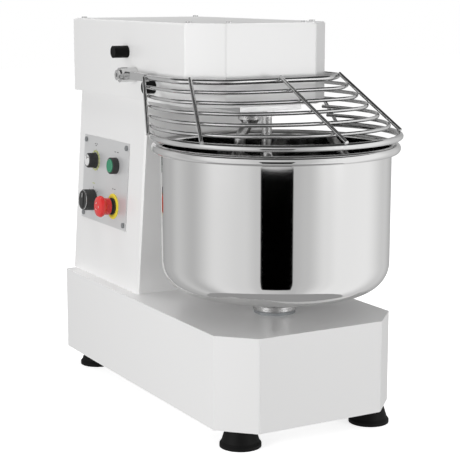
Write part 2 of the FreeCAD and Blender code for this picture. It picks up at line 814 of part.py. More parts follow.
node(group([bowl_screws, joined(hub_screw, hub_shank)]), "bowl_bolts")
GEAR_LOW = BASE_LOW + size("gear_level") - 28
SHAFT_LOW = GEAR_LOW - 6
node(rod(SHAFT_R, BOWL_LOW - SHAFT_LOW, (0, BOWL_Y, SHAFT_LOW)), "bowl_shaft")
HOUSING_LOW = GEAR_LOW + size("gear_face") + 14
BOWL_BORE = SHAFT_R + size("bearing_depth")
housing = [
    (BOWL_BORE, HOUSING_LOW), (BOWL_BORE + 9, HOUSING_LOW), (BOWL_BORE + 9, BASE_TOP - WALL - 8),
    (56, BASE_TOP - WALL - 8), (56, BASE_TOP - WALL),
    (size("collar_radius"), BASE_TOP - WALL), (size("collar_radius"), HUB_LOW - 0.5), (SHAFT_R + 3, HUB_LOW - 0.5),
    (SHAFT_R + 3, BASE_TOP - 2), (BOWL_BORE, BASE_TOP - 2),
]
node(turned(housing, (0, BOWL_Y, 0)), "bowl_bearing_housing")
bearing_rows = []
for low in (HOUSING_LOW + 2, BASE_TOP - 20):
    outer = BOWL_BORE - 0.05
    bearing_rows.append(turned([(SHAFT_R + FIT, 0), (outer, 0), (outer, 14), (SHAFT_R + FIT, 14)], (0, BOWL_Y, low)))


def involute_gear(module, teeth, face, bore, thinning, turn):
    """Return a spur gear on the origin, standing on Z = 0.

    Args:
        module, teeth, face, bore: the usual sizes.
        thinning: how much is taken off each tooth at the pitch circle.
        turn: angle in radians by which tooth 0 is turned from +X.
    """
    pitch = module * teeth / 2
    base = pitch * math.cos(math.radians(20))
    tip = pitch + module
    root = pitch - 1.25 * module
    spread = math.tan(math.radians(20)) - math.radians(20)
    half = math.pi / (2 * teeth) - thinning / (2 * pitch) + spread
    points = []
    for tooth in range(teeth):
        middle = turn + 2 * math.pi * tooth / teeth
        flank = []
        for step in range(6):
            radius = max(base, root) + (tip - max(base, root)) * step / 5
            roll = math.sqrt(max((radius / base) ** 2 - 1, 0))
            flank.append((radius, half - (roll - math.atan(roll))))
        left = [(root, flank[0][1])] + flank
        for radius, angle in left:
            points.append((radius * math.cos(middle - angle), radius * math.sin(middle - angle)))
        for radius, angle in reversed(left):
            points.append((radius * math.cos(middle + angle), radius * math.sin(middle + angle)))
    corners = [FreeCAD.Vector(x, y, 0) for x, y in points]
    face_shape = Part.Face(Part.makePolygon(corners + corners[:1]))
    solid = face_shape.extrude(FreeCAD.Vector(0, 0, face))
    return solid.cut(Part.makeCylinder(bore, face))


MODULE = num(size("gear_module"))
PINION = int(num(size("pinion_teeth")))
GEAR = int(num(size("gear_teeth")))
FACE_W = num(size("gear_face"))
THIN = num(size("gear_backlash")) / 2
# the pinion's tooth points at the gear, and the gear has a gap facing it
gear = made(involute_gear(MODULE, GEAR, FACE_W, num(SHAFT_R), THIN, math.pi / 2 + math.pi / GEAR))
place(gear, (0, BOWL_Y, GEAR_LOW))
node(gear, "bowl_gear")
SECOND_R = size("countershaft_radius")
pinion = made(involute_gear(MODULE, PINION, FACE_W + 4, num(SECOND_R), THIN, -math.pi / 2))
place(pinion, (0, COUNTER_Y, GEAR_LOW - 2))
node(pinion, "bowl_pinion")
BELT_H = size("belt_height")
BASE_BELT = BASE_LOW + size("base_belt_level") - 28
COUNTER_TOP = BASE_TOP - 6
node(rod(SECOND_R, COUNTER_TOP - (GEAR_LOW - 6), (0, COUNTER_Y, GEAR_LOW - 6)), "countershaft")


def pulley(radius, bore, at, height=BELT_H):
    """Return a belt pulley with rims above and below the belt's track."""
    rim = as_size(radius) + 4
    profile = [(bore, 0), (rim, 0), (rim, 2.5), (radius, 4), (radius, height - 4), (rim, height - 2.5), (rim, height),
               (bore, height)]
    return turned(profile, at)


COUNTER_HOUSE = [(SECOND_R + FIT, BASE_BELT + BELT_H + 3), (22, BASE_BELT + BELT_H + 3), (22, BASE_TOP - WALL - 6),
                 (34, BASE_TOP - WALL - 6), (34, BASE_TOP - WALL), (SECOND_R + FIT, BASE_TOP - WALL)]
node(turned(COUNTER_HOUSE, (0, COUNTER_Y, 0)), "countershaft_bearing")
node(pulley(size("base_pulley_large"), SECOND_R, (0, COUNTER_Y, BASE_BELT)), "countershaft_pulley")


def belt(small, small_y, large, large_y, level, gap, thick, height):
    """Return a flat loop round two pulleys whose axes stand on X = 0.

    Args:
        small, large: radii of the pulley tracks; small_y, large_y: where the axes stand.
        level, height: lowest point and width of the belt.
        gap: room left between belt and track. thick: how thick the belt is.
    """
    def loop(extra):
        first, second = (small + extra, small_y), (large + extra, large_y)
        apart = second[1] - first[1]
        lean = math.asin((second[0] - first[0]) / abs(apart))
        toward = 1 if apart > 0 else -1
        corners = []
        for radius, middle in (first, second):
            shift = -toward * radius * math.sin(lean)
            corners.append((radius * math.cos(lean), middle + shift))
        a, b = corners
        near = (0, first[1] - toward * first[0])
        far = (0, second[1] + toward * second[0])
        point = [FreeCAD.Vector(x, y, level) for x, y in (a, b, far, (-b[0], b[1]), (-a[0], a[1]), near)]
        pieces = [
            Part.makeLine(point[0], point[1]),
            Part.Arc(point[1], point[2], point[3]).toShape(),
            Part.makeLine(point[3], point[4]),
            Part.Arc(point[4], point[5], point[0]).toShape(),
        ]
        return Part.Face(Part.Wire(pieces)).extrude(FreeCAD.Vector(0, 0, height))
    return loop(gap + thick).cut(loop(gap))


def belt_on(small, small_y, large, large_y, low):
    """Return the belt that runs in the tracks of two pulleys standing at low."""
    values = [num(part) for part in (small, small_y, large, large_y)]
    shape = belt(*values, num(low) + 6, num(size("belt_gap")), num(size("belt_thick")) - 4, num(BELT_H) - 12)
    return made(shape)


belts = [belt_on(size("base_pulley_small"), LAYSHAFT_Y, size("base_pulley_large"), COUNTER_Y, BASE_BELT)]

# ---------------------------------------------------------------- layshaft and motor
HEAD_FLOOR = HEAD_LOW + WALL
MOTOR_BELT = HEAD_LOW + size("motor_belt_lift")
HEAD_BELT = HEAD_LOW + size("head_belt_lift")
LAY_R = size("layshaft_radius")
LAY_LOW = BASE_BELT - 5
LAY_TOP = HEAD_BELT + BELT_H + 4
node(rod(LAY_R, LAY_TOP - LAY_LOW, (0, LAYSHAFT_Y, LAY_LOW)), "layshaft")
small_pulleys = [pulley(size("base_pulley_small"), LAY_R, (0, LAYSHAFT_Y, BASE_BELT))]
node(pulley(size("motor_pulley_large"), LAY_R, (0, LAYSHAFT_Y, MOTOR_BELT)), "layshaft_large_pulley")
small_pulleys.append(pulley(size("head_pulley_small"), LAY_R, (0, LAYSHAFT_Y, HEAD_BELT)))
node(group(small_pulleys), "layshaft_small_pulleys")
LAY_BORE = LAY_R + FIT
lower_block = [(LAY_BORE, -22), (29.5, -22), (29.5, 0), (44, 0), (44, 8), (26, 8), (26, 18), (LAY_BORE, 18)]
lay_bearings = [turned(lower_block, (0, LAYSHAFT_Y, BASE_TOP))]
upper_block = [(LAY_BORE, -22), (23.5, -22), (23.5, 0), (38, 0), (38, 7), (24, 7), (24, 14), (LAY_BORE, 14)]
lay_bearings.append(turned(upper_block, (0, LAYSHAFT_Y, HEAD_FLOOR)))
node(group(lay_bearings), "layshaft_bearings")

MOTOR_R = size("motor_radius")
MOTOR_L = size("motor_length")
MOTOR_SHAFT = 9.5
PLATE_LOW = HEAD_LOW - 8
MOTOR_LOW = PLATE_LOW - MOTOR_L
motor_profile = [
    (MOTOR_SHAFT + FIT, 0), (MOTOR_R - 4, 0), (MOTOR_R - 4, 10), (MOTOR_R, 12), (MOTOR_R, MOTOR_L - 12),
    (MOTOR_R - 4, MOTOR_L - 10), (MOTOR_R - 4, MOTOR_L), (MOTOR_SHAFT + FIT, MOTOR_L),
    (MOTOR_SHAFT + FIT, MOTOR_L - 14), (40, MOTOR_L - 26), (40, 26), (MOTOR_SHAFT + FIT, 14),
]
fins = []
for step in range(24):
    angle = math.radians(15 * step)
    x, y = (num(MOTOR_R) + 1) * math.cos(angle), (num(MOTOR_R) + 1) * math.sin(angle)
    fins.append(rod(1.6, MOTOR_L - 40, (x, MOTOR_Y + y, MOTOR_LOW + 20)))
node(cut(turned(motor_profile, (0, MOTOR_Y, MOTOR_LOW)), *fins), "motor_body")
rotor = joined(rod(MOTOR_SHAFT, MOTOR_L + 86, (0, MOTOR_Y, MOTOR_LOW - 24)),
               rod(38, MOTOR_L - 64, (0, MOTOR_Y, MOTOR_LOW + 32)))
fan_profile = [(12, -28), (MOTOR_R - 3, -28), (MOTOR_R - 1, -26), (MOTOR_R - 1, -0.1), (MOTOR_R - 3, -0.1),
               (MOTOR_R - 3, -26), (12, -26)]
vents = []
for step in range(8):
    angle = math.radians(45 * step)
    vents.append(rod(6, 8, (36 * math.cos(angle), MOTOR_Y + 36 * math.sin(angle), MOTOR_LOW - 30)))
node(cut(turned(fan_profile, (0, MOTOR_Y, MOTOR_LOW)), *vents), "motor_fan_cover")
blades = [turned([(MOTOR_SHAFT, -20), (15, -20), (15, -8), (50, -8), (50, -5), (MOTOR_SHAFT, -5)], (0, MOTOR_Y, MOTOR_LOW))]
for step in range(6):
    blade = block(34, 3, 10, (0, 0, 0))
    turn = FreeCAD.Rotation(FreeCAD.Vector(0, 0, 1), 60 * step)
    corner = turn.multVec(FreeCAD.Vector(14, -1.5, 0))
    place(blade, (corner.x, MOTOR_Y + corner.y, MOTOR_LOW - 18), turn)
    blades.append(blade)
node(group([rotor, joined(*blades)]), "motor_rotor")
node(pulley(size("motor_pulley_radius"), MOTOR_SHAFT, (0, MOTOR_Y, MOTOR_BELT)), "motor_pulley")
mount = block(140, 114, 8, (0, MOTOR_Y - 4, PLATE_LOW))
mount_spots = [(side * 62, MOTOR_Y + away, PLATE_LOW) for side in (-1, 1) for away in (-52, 44)]
flange_spots = [(side * 34, MOTOR_Y + away * 34, PLATE_LOW + 8) for side in (-1, 1) for away in (-1, 1)]
mount_holes = [rod(3.2, 10, (x, y, PLATE_LOW - 1)) for x, y, z in mount_spots]
mount_holes += [rod(3.2, 10, (x, y, PLATE_LOW - 1)) for x, y, z in flange_spots]
node(cut(mount, rod(20, 10, (0, MOTOR_Y, PLATE_LOW - 1)), *mount_holes), "motor_plate")
node(screw_set(mount_spots, "-z", 5, 5, 3, 18, socket=5), "motor_plate_bolts")
LARGE = size("motor_pulley_large")
belts.append(belt_on(size("motor_pulley_radius"), MOTOR_Y, LARGE, LAYSHAFT_Y, MOTOR_BELT))
HOOK_PULLEY = size("head_pulley_large")
belts.append(belt_on(size("head_pulley_small"), LAYSHAFT_Y, HOOK_PULLEY, HOOK_Y, HEAD_BELT))
node(group(belts), "drive_belts")

case_y = BOWL_Y + COL_F + WALL + 23
case = cut(block(120, 46, 140, (0, case_y, BASE_TOP + 130)), block(114, 42, 134, (0, case_y + 2.1, BASE_TOP + 133)))
contacts = [block(40, 30, 60, (side * 28, case_y - 3.7, BASE_TOP + 150)) for side in (-1, 1)]
node(group([case] + contacts), "electrical_box")
gland_profile = [(4, -14), (9.9, -14), (9.9, 0), (13, 0), (13, 8), (10, 10), (8, 18.5), (4, 18.5)]
node(place(turned(gland_profile), GLAND_AT, AXES["y"]), "cable_gland")

# ---------------------------------------------------------------- hook
HOOK_SHAFT = size("hook_shaft_radius")
PLATE_T = 8
HOOK_PLATE = HEAD_LOW - PLATE_T
FLANGE_TOP = HOOK_PLATE - 3
flange_mid = FLANGE_TOP - 8
shaft_item = joined(rod(HOOK_SHAFT, HEAD_BELT + BELT_H + 5 - FLANGE_TOP, (0, HOOK_Y, FLANGE_TOP)),
                    rod(19, 8, (0, HOOK_Y, flange_mid)))
flange_spots = []
for step in range(3):
    angle = math.radians(90 + 120 * step)
    flange_spots.append((13 * math.cos(angle), HOOK_Y + 13 * math.sin(angle), flange_mid - 7))
flange_bores = [rod(2.55, 16, (x, y, z - 1)) for x, y, z in flange_spots]
node(cut(shaft_item, *flange_bores), "hook_shaft")
node(pulley(HOOK_PULLEY, HOOK_SHAFT, (0, HOOK_Y, HEAD_BELT)), "hook_pulley")
HOOK_BORE = HOOK_SHAFT + size("bearing_depth")
HOOK_CASE = HOOK_BORE + size("bearing_case") - 0.1
HOOK_ROOM = HOOK_SHAFT + 2
carrier_profile = [(HOOK_BORE, 0), (HOOK_CASE, 0), (HOOK_CASE, 50), (HOOK_ROOM, 50), (HOOK_ROOM, 46), (HOOK_BORE, 46)]
carrier = turned(carrier_profile, (0, HOOK_Y, HEAD_LOW))
plate_part = cut(block(112, 124, PLATE_T, (0, HOOK_Y - 4, HOOK_PLATE)), rod(HOOK_ROOM, 20, (0, HOOK_Y, HOOK_PLATE - 1)))
BAR_Y = BOWL_Y + size("breaker_from_bowl")
BAR_R = size("breaker_radius")
carrier_all = cut(joined(carrier, plate_part), rod(BAR_R, 20, (0, BAR_Y, HOOK_PLATE - 1)))
node(carrier_all, "hook_bearing_housing")
rings = []
for low in (HEAD_LOW + 2, HEAD_LOW + 30):
    outer = HOOK_BORE - 0.05
    rings.append(turned([(HOOK_SHAFT + FIT, 0), (outer, 0), (outer, 14), (HOOK_SHAFT + FIT, 14)], (0, HOOK_Y, low)))
node(group(bearing_rows + rings), "ball_bearings")
ROD = num(size("hook_rod"))
REACH = num(BOWL_R - size("bowl_wall") - size("hook_from_bowl") - size("hook_rod") - size("hook_clearance"))
HOOK_END = num(BOWL_LOW) + 22
HOOK_START = num(flange_mid) - 16


def ramp(value, low, high):
    """Rise smoothly from 0 to 1 as value goes from low to high."""
    part = min(max((value - low) / (high - low), 0), 1)
    return part * part * (3 - 2 * part)


def hook_line():
    """Return points along the middle of the spiral."""
    points = [(0, num(HOOK_Y), num(flange_mid) - 6)]
    steps = 44
    top = HOOK_START
    for step in range(steps + 1):
        along = step / steps
        height = top - (top - HOOK_END) * along
        reach = 18 * ramp(top - height, -14, 26) + (REACH - 18) * ramp(top - height, 34, 140)
        angle = math.radians(178 - 560 * ramp(along, 0.1, 1.15) / ramp(1, 0.1, 1.15))
        points.append((reach * math.cos(angle), num(HOOK_Y) + reach * math.sin(angle), height))
    return points


spiral = made(swept(hook_line(), ROD))
flange = rod(19, 7, (0, HOOK_Y, flange_mid - 7))
neck = taper(ROD + 2, 17, 8, (0, HOOK_Y, flange_mid - 15))
hook = joined(spiral, flange, neck)
hook_bores = [rod(2.55, 9, (x, y, z - 0.5)) for x, y, z in flange_spots]
hook_bores += [rod(4.6, 12, (x, y, z), "-z") for x, y, z in flange_spots]
node(cut(hook, *hook_bores), "spiral_hook")
node(screw_set(flange_spots, "-z", 4.2, 3, 2.5, 13, socket=3), "hook_bolts")
BAR_LOW = num(BOWL_LOW) + 24
bar_y = num(BAR_Y)
straight_heights = [num(HEAD_LOW) - 0.2 - 11.8 * step for step in range(7)]
bar_points = [(0, bar_y, height) for height in straight_heights]
for step in range(1, 8):
    part = step / 8
    bar_points.append((0, bar_y - 35 * ramp(part, 0, 1), straight_heights[-1] - 52 * part))
bend_low = straight_heights[-1] - 52
bar_points += [(0, bar_y - 35, bend_low + (BAR_LOW - bend_low) * step / 10) for step in range(11)]
bar = made(swept(bar_points, num(BAR_R)))
nut = cut(hexagon(24, 9, (0, BAR_Y, HOOK_PLATE), "-z"), rod(BAR_R, 12, (0, BAR_Y, HOOK_PLATE + 1), "-z"))
node(group([bar, nut]), "breaker_bar")

# ---------------------------------------------------------------- guard
STAND = num(size("guard_stand_off"))
RAIL_X = num(size("head_width")) / 2 + STAND
RAIL_FRONT = num(size("head_front")) - STAND - 2
RAIL_END = 150
RAIL_CHAMFER = num(size("head_chamfer")) + 0.8 * STAND * CORNER * 2
RAIL_CORNERS = [(0, RAIL_FRONT), (RAIL_X - RAIL_CHAMFER, RAIL_FRONT), (RAIL_X, RAIL_FRONT + RAIL_CHAMFER), (RAIL_X, RAIL_END)]
GUARD_LOW = num(BOWL_LOW + DEPTH + size("guard_gap"))
GUARD_HIGH = num(PIVOT_Z)
SWEEP = math.radians(num(size("guard_sweep")))


def rail_point(part):
    """Return the top rail's plan point at a signed part (-1 to 1) of its half length."""
    lengths = [math.dist(a, b) for a, b in zip(RAIL_CORNERS, RAIL_CORNERS[1:])]
    left = min(abs(part), 1) * sum(lengths)
    for (start, end), length in zip(zip(RAIL_CORNERS, RAIL_CORNERS[1:]), lengths):
        if left <= length + 1e-9:
            share = left / length
            x = start[0] + (end[0] - start[0]) * share
            y = start[1] + (end[1] - start[1]) * share
            return (x if part >= 0 else -x, y)
        left -= length
    return (RAIL_CORNERS[-1][0] if part >= 0 else -RAIL_CORNERS[-1][0], RAIL_CORNERS[-1][1])


def soft_rail(part):
    """Return the rail's plan point with its corners rounded by averaging nearby points."""
    width = 0.06 * min(1, (1 - abs(part)) / 0.06) if abs(part) < 1 else 0
    spots = [rail_point(part + width * step / 4) for step in range(-4, 5)]
    return (sum(x for x, y in spots) / 9, sum(y for x, y in spots) / 9)


def guard_point(part, drop):
    """Return a point of the guard's surface.

    Args:
        part: -1 at the left end, 0 in the middle of the front, 1 at the right end.
        drop: 0 at the top rail and 1 at the bottom ring.
    """
    high = soft_rail(part)
    radius = num(BOWL_R + size("guard_overhang"))
    low = (radius * math.sin(SWEEP * part), -radius * math.cos(SWEEP * part))
    x = high[0] + (low[0] - high[0]) * drop
    y = high[1] + (low[1] - high[1]) * drop
    return (x, num(BOWL_Y) + y, GUARD_HIGH + (GUARD_LOW - GUARD_HIGH) * drop)


def guard_wire(drop, radius, steps):
    """Return one wire that runs from the guard's left end to its right end."""
    return swept([guard_point(-1 + 2 * step / steps, drop) for step in range(steps + 1)], radius)


top_rail = guard_wire(0, num(size("guard_top_tube")), 36)
node(made(top_rail), "guard_top_rail")
WIRE = num(size("guard_wire"))
ROWS = 6
node(group([made(guard_wire(row / ROWS, WIRE, 36)) for row in range(1, ROWS)]), "guard_rings")
bottom_ring = guard_wire(1, num(size("guard_tube")), 36)
node(made(bottom_ring), "guard_bottom_ring")


def rib(part):
    """Return a straight rib that lies on the wires and is cut to saddle the rail and the bottom ring."""
    high = FreeCAD.Vector(*guard_point(part, 0))
    low = FreeCAD.Vector(*guard_point(part, 1))
    side = FreeCAD.Vector(*guard_point(part + 0.01, 0.5)) - FreeCAD.Vector(*guard_point(part - 0.01, 0.5))
    outward = (low - high).cross(side)
    outward.normalize()
    if outward.z < 0:
        outward = -outward
    run = low - high
    cylinder = Part.makeCylinder(WIRE, run.Length, high + outward * (2 * WIRE + 0.3), run)
    saddled = cylinder.cut(top_rail).cut(bottom_ring)
    return max(saddled.Solids, key=lambda solid: solid.Volume)


node(group([made(rib(part)) for part in (-0.985, -0.54, 0.0, 0.54, 0.985)]), "guard_ribs")

BOSS_R = 12
arms = []
pins = []
cams = []
for side, axis, back in ((-1, "-x", "x"), (1, "x", "-x")):
    start = side * HEAD_HALF + side * 0.5
    boss = rod(BOSS_R, 29, (start, PIVOT_Y, PIVOT_Z), axis)
    arm_length = size("guard_pivot_y") - RAIL_END
    arm = block(9, arm_length, 12, (side * RAIL_X, PIVOT_Y - arm_length / 2, PIVOT_Z - 6))
    pin_bore = rod(5, 40, (start, PIVOT_Y, PIVOT_Z), axis)
    arms.append(cut(joined(boss, arm), pin_bore))
    outer = side * HEAD_HALF + side * 29.5
    shank = rod(5, 29.5 + 15, (outer, PIVOT_Y, PIVOT_Z), back)
    head = cut(rod(8.5, 5, (outer, PIVOT_Y, PIVOT_Z), axis), hexagon(6, 5, (outer + side * 2, PIVOT_Y, PIVOT_Z), axis))
    pins.append(joined(shank, head))
    inner = side * HEAD_HALF - side * (num(WALL) + 2)
    cam = cut(joined(rod(11, 6, (inner, PIVOT_Y, PIVOT_Z), back), block(6, 14, 16, (inner - side * 3, PIVOT_Y, PIVOT_Z))),
              rod(5, 8, (inner + side * 1, PIVOT_Y, PIVOT_Z), back))
    cams.append(cam)
node(group(arms), "guard_arms")
node(group(pins), "guard_pivot_pins")
node(cams[1], "guard_cam")
switch_x = HEAD_HALF - num(WALL) - 9
node(block(10, 28, 20, (switch_x + 1, PIVOT_Y + 2, PIVOT_Z - 32.5)), "guard_switch")
buffers = []
for side, axis in ((-1, "-x"), (1, "x")):
    start = side * HEAD_HALF
    buffers.append(rod(10, 26, (start, PIVOT_Y + 32, PIVOT_Z + 36), axis))
    buffers.append(rod(10.5, 17.5, (start, PIVOT_Y - 66, PIVOT_Z - 16.6), axis))
node(group(buffers), "guard_buffers")


doc.recompute()
os.makedirs("parts", exist_ok=True)
for item in doc.Objects:
    if "Invalid" in item.State or "Error" in item.State:
        raise ValueError("{} is {}".format(item.Name, item.State))
for label, item in NODES:
    shape = item.Shape
    if shape.isNull() or not shape.isValid():
        raise ValueError("{} is not a valid shape".format(label))
    shape.exportStep("parts/{}.step".format(label))
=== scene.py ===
"""Studio scene of a free-standing spiral dough mixer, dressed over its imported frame."""

import logging
import math
from dataclasses import dataclass
from enum import Enum
from typing import Sequence

import bpy
from mathutils import Matrix, Vector


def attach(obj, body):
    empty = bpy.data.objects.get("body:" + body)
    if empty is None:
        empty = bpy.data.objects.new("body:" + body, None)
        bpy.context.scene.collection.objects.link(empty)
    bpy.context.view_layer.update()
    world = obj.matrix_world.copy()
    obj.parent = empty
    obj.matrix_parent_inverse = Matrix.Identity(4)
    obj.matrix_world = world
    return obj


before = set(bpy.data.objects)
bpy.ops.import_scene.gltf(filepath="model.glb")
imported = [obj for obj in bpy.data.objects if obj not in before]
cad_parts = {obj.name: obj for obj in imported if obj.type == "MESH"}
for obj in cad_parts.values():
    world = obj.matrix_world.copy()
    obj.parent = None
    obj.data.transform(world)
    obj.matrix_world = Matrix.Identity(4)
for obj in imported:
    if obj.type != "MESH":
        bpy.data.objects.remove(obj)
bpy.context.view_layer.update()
LOG = logging.getLogger("mixer")
BOWL_Y = -0.1485  # where the bowl's axis stands, in metres
WELD = 0.000002  # points nearer than this are made one
SMOOTH_ANGLE = math.radians(35)
Colour = tuple[float, float, float]
Point = tuple[float, float, float]


class Body(Enum):
    """The moving bodies that pieces ride on."""

    FRAME = "frame"
    TIMER = "timer_knob"
    SELECTOR = "selector_knob"
    START = "start_button"
    STOP = "emergency_stop_button"


# ---------------------------------------------------------------- shader helpers
def new_group(
    name: str, inputs: Sequence[tuple[str, float]], outputs: Sequence[tuple[str, str]]
) -> bpy.types.NodeTree:
    """Make an empty shader group with number inputs.

    Args:
        name: the group's name.
        inputs: name and starting value of each number input.
        outputs: name and socket type of each output.

    Returns:
        The new node tree, with its input and output nodes in place.
    """
    tree = bpy.data.node_groups.new(name, "ShaderNodeTree")
    for label, value in inputs:
        socket = tree.interface.new_socket(label, in_out="INPUT", socket_type="NodeSocketFloat")
        socket.default_value = value
    for label, kind in outputs:
        tree.interface.new_socket(label, in_out="OUTPUT", socket_type=kind)
    tree.nodes.new("NodeGroupInput").name = "in"
    tree.nodes.new("NodeGroupOutput").name = "out"
    return tree


def grain_group() -> bpy.types.NodeTree:
    """Make the shared fine-grain effect: a roughness that varies and a slightly uneven normal.

    Returns:
        The shader group, built once and found again after that.
    """
    known = bpy.data.node_groups.get("fine_grain")
    if known:
        return known
    tree = new_group(
        "fine_grain",
        (
            ("Size", 900.0), ("Rough", 0.3), ("Spread", 0.05), ("Depth", 0.02),
            ("Stretch X", 1.0), ("Stretch Z", 1.0),
        ),
        (("Roughness", "NodeSocketFloat"), ("Normal", "NodeSocketVector"), ("Mask", "NodeSocketFloat")),
    )
    nodes, links = tree.nodes, tree.links
    place = nodes.new("ShaderNodeTexCoord")
    stretch = nodes.new("ShaderNodeCombineXYZ")
    links.new(nodes["in"].outputs["Stretch X"], stretch.inputs[0])
    links.new(nodes["in"].outputs["Stretch X"], stretch.inputs[1])
    links.new(nodes["in"].outputs["Stretch Z"], stretch.inputs[2])
    scaled = nodes.new("ShaderNodeVectorMath")
    scaled.operation = "MULTIPLY"
    links.new(place.outputs["Object"], scaled.inputs[0])
    links.new(stretch.outputs[0], scaled.inputs[1])
    noise = nodes.new("ShaderNodeTexNoise")
    noise.inputs["Detail"].default_value = 3.0
    links.new(scaled.outputs[0], noise.inputs["Vector"])
    links.new(nodes["in"].outputs["Size"], noise.inputs["Scale"])
    centred = nodes.new("ShaderNodeMath")
    centred.operation = "SUBTRACT"
    centred.inputs[1].default_value = 0.5
    links.new(noise.outputs["Fac"], centred.inputs[0])
    spread = nodes.new("ShaderNodeMath")
    spread.operation = "MULTIPLY_ADD"
    links.new(centred.outputs[0], spread.inputs[0])
    links.new(nodes["in"].outputs["Spread"], spread.inputs[1])
    links.new(nodes["in"].outputs["Rough"], spread.inputs[2])
    bump = nodes.new("ShaderNodeBump")
    bump.inputs["Distance"].default_value = 0.0005
    links.new(nodes["in"].outputs["Depth"], bump.inputs["Strength"])
    links.new(noise.outputs["Fac"], bump.inputs["Height"])
    links.new(spread.outputs[0], nodes["out"].inputs["Roughness"])
    links.new(bump.outputs[0], nodes["out"].inputs["Normal"])
    links.new(noise.outputs["Fac"], nodes["out"].inputs["Mask"])
    return tree


def tint_group() -> bpy.types.NodeTree:
    """Make the shared tint effect: a colour that drifts a little in broad soft patches.

    Returns:
        The shader group, built once and found again after that.
    """
    known = bpy.data.node_groups.get("soft_tint")
    if known:
        return known
    tree = new_group("soft_tint", (("Size", 5.0), ("Amount", 0.05)), (("Color", "NodeSocketColor"),))
    for label in ("Base", "Tint"):
        tree.interface.new_socket(label, in_out="INPUT", socket_type="NodeSocketColor")
    nodes, links = tree.nodes, tree.links
    place = nodes.new("ShaderNodeTexCoord")
    noise = nodes.new("ShaderNodeTexNoise")
    noise.inputs["Detail"].default_value = 2.0
    links.new(place.outputs["Object"], noise.inputs["Vector"])
    links.new(nodes["in"].outputs["Size"], noise.inputs["Scale"])
    amount = nodes.new("ShaderNodeMath")
    amount.operation = "MULTIPLY"
    links.new(noise.outputs["Fac"], amount.inputs[0])
    links.new(nodes["in"].outputs["Amount"], amount.inputs[1])
    mix = nodes.new("ShaderNodeMix")
    mix.data_type = "RGBA"
    links.new(amount.outputs[0], mix.inputs["Factor"])
    links.new(nodes["in"].outputs["Base"], mix.inputs[6])
    links.new(nodes["in"].outputs["Tint"], mix.inputs[7])
    links.new(mix.outputs[2], nodes["out"].inputs["Color"])
    return tree


@dataclass(frozen=True)
class Finish:
    """One surface finish and the shader that gives it.

    Sizes are per metre for the grain, and colours are linear.
    """

    name: str
    colour: Colour
    tint: Colour
    rough: float
    spread: float = 0.04
    depth: float = 0.02
    grain: float = 900.0
    metal: float = 0.0
    coat: float = 0.0
    patch: float = 0.10
    stretch_x: float = 1.0
    stretch_z: float = 1.0
    anisotropy: float = 0.0
    specular: float = 0.5

    def material(self) -> bpy.types.Material:
        """Build this finish's material the first time and find it again after that.

        Returns:
            The material.
        """
        known = bpy.data.materials.get(self.name)
        if known:
            return known
        made = bpy.data.materials.new(self.name)
        made.use_nodes = True
        nodes, links = made.node_tree.nodes, made.node_tree.links
        shader = nodes["Principled BSDF"]
        grain = nodes.new("ShaderNodeGroup")
        grain.node_tree = grain_group()
        for label, value in (
            ("Size", self.grain),
            ("Rough", self.rough),
            ("Spread", self.spread),
            ("Depth", self.depth),
            ("Stretch X", self.stretch_x),
            ("Stretch Z", self.stretch_z),
        ):
            grain.inputs[label].default_value = value
        tint = nodes.new("ShaderNodeGroup")
        tint.node_tree = tint_group()
        tint.inputs["Size"].default_value = 6.0
        tint.inputs["Amount"].default_value = self.patch
        tint.inputs["Base"].default_value = (*self.colour, 1.0)
        tint.inputs["Tint"].default_value = (*self.tint, 1.0)
        links.new(tint.outputs["Color"], shader.inputs["Base Color"])
        links.new(grain.outputs["Roughness"], shader.inputs["Roughness"])
        links.new(grain.outputs["Normal"], shader.inputs["Normal"])
        shader.inputs["Metallic"].default_value = self.metal
        shader.inputs["Coat Weight"].default_value = self.coat
        shader.inputs["Coat Roughness"].default_value = 0.08
        shader.inputs["Specular IOR Level"].default_value = self.specular
        if self.anisotropy:
            shader.inputs["Anisotropic"].default_value = self.anisotropy
        return made


def shade(value: float, warm: float = 0.0) -> Colour:
    """Mix a grey, a little warmer or cooler."""
    return (value * (1 + warm), value, value * (1 - warm))


